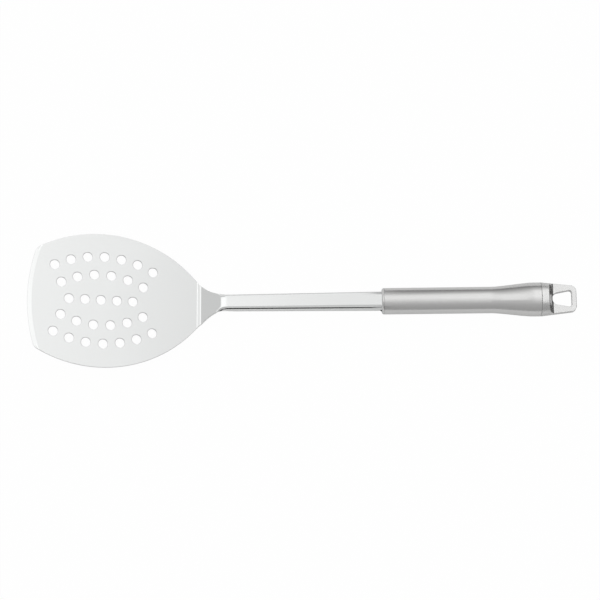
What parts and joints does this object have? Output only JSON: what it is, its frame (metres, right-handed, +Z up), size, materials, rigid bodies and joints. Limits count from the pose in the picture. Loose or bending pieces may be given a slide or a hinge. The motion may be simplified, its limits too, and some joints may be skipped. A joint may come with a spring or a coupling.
{
  "type": "perforated kitchen turner",
  "caption": "Steel kitchen turner: a broad round-holed blade and channel shank stamped in one sheet, a hollow flared tube handle, and an end cap drawn out to a flat lug with a hanging eye.",
  "frame": {"origin": "on the table, under the middle of the turner's length and width", "axes": "+X from the blade to the hanging eye, +Y to the left of someone looking along +X, +Z up from the table the turner lies on"},
  "size_m": [0.3714, 0.093, 0.0301],
  "materials": {
    "polished_steel": "polished stainless sheet",
    "brushed_steel": "brushed round the tube",
    "satin_steel": "satin"
  },
  "bodies": {
    "root": {"blade_and_shank": "polished_steel", "nose_bush": "satin_steel", "handle_tube": "brushed_steel", "end_cap": "satin_steel"}
  },
  "joints": []
}
